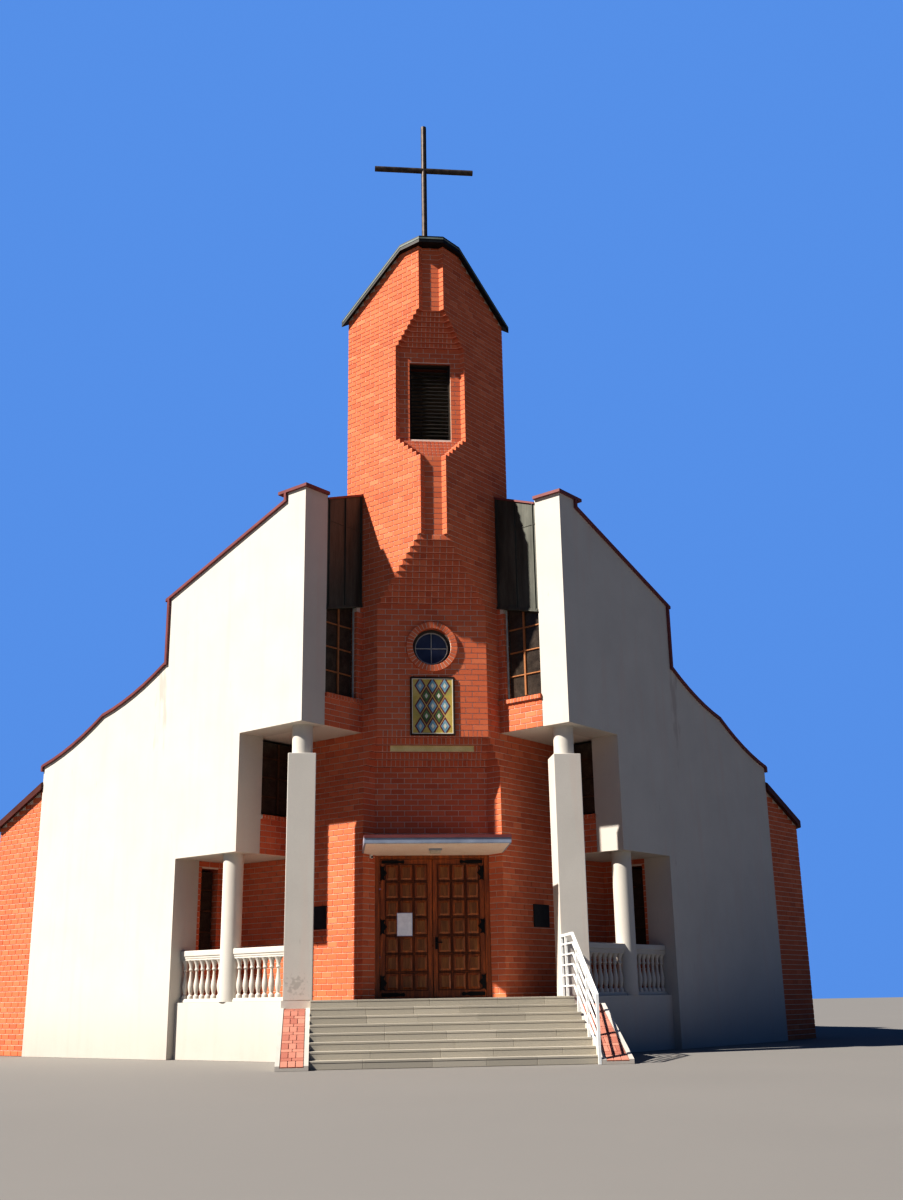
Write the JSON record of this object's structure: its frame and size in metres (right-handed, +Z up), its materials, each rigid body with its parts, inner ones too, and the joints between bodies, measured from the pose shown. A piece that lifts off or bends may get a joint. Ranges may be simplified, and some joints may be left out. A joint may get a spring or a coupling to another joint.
{
  "type": "church building",
  "caption": "Modern parish church with a brick bell tower turned by 45 degrees between stepped white walls, a round window, a canopy over double doors, balustrades and front steps.",
  "frame": {"origin": "centre of the footprint's bounding box, at ground level", "axes": "+Z up, -Y towards the entrance front, +X to the right as seen from the front"},
  "size_m": [18.5634, 17.5874, 19.78],
  "materials": {
    "stucco": "matt painted stucco, streaked by weather",
    "brick": "red clay brick with pale joints",
    "coping": "red-brown coated sheet",
    "roof": "red-brown coated sheet",
    "cladding": "dark sheet with standing seams",
    "window": "brown painted frame with dark panes",
    "louvre": "black coated slats",
    "iron": "dark painted iron",
    "panel": "painted panel in a thin dark frame",
    "plate": "plain tan plate",
    "concrete": "plain concrete",
    "granite": "grey granite blocks",
    "white_steel": "white gloss paint",
    "canopy": "blue-grey sheet edge, red-brown top",
    "door_wood": "brown varnished panels"
  },
  "bodies": {
    "root": {"right_white_wall": "stucco", "left_white_wall": "stucco", "right_rear_white_wall": "stucco", "left_rear_white_wall": "stucco", "right_coping": "coping", "left_coping": "coping", "right_rear_coping": "coping", "left_rear_coping": "coping", "nave_roof": "roof", "right_lower_roof": "roof", "left_lower_roof": "roof", "right_brick_corner": "brick", "left_brick_corner": "brick", "rear_wall": "brick", "rear_upper_window": "window", "rear_lower_window": "window", "right_upper_bay": "brick", "left_upper_bay": "brick", "right_middle_bay": "brick", "left_middle_bay": "brick", "right_upper_window": "window", "left_upper_window": "window", "right_middle_window": "window", "left_middle_window": "window", "right_ground_window": "window", "left_ground_window": "window", "right_cladding": "cladding", "left_cladding": "cladding", "right_entrance_wall": "brick", "left_entrance_wall": "brick", "wall_over_door": "brick", "tower_front_panel": "brick", "tower_front_corner": "brick", "right_tower_front_wall": "brick", "left_tower_front_wall": "brick", "tower_back_walls": "brick", "tower_roof": "roof", "cross": "iron", "belfry_louvres": "louvre", "round_window": "window", "icon_panel": "panel", "name_plate": "plate", "gallery_floor": "concrete", "right_balustrade": "stucco", "left_balustrade": "stucco", "right_terrace": "stucco", "left_terrace": "stucco", "steps": "granite", "right_cheek": "brick", "left_cheek": "brick", "hand_rail": "white_steel", "nave_floor": "concrete", "canopy": "canopy", "door_frame": "door_wood"},
    "right_door": {"right_door_leaf": "door_wood", "door_handle": "iron"},
    "left_door": {"left_door_leaf": "door_wood"}
  },
  "joints": [
    {"name": "right_door_hinge", "type": "hinge", "parent": "root", "child": "right_door", "pos_m": [0.97, -4.8517, 1.012], "axis": [0, 0, 1], "range_deg": [0, 100]},
    {"name": "left_door_hinge", "type": "hinge", "parent": "root", "child": "left_door", "pos_m": [-0.97, -4.8517, 1.012], "axis": [0, 0, -1], "range_deg": [0, 100]}
  ]
}
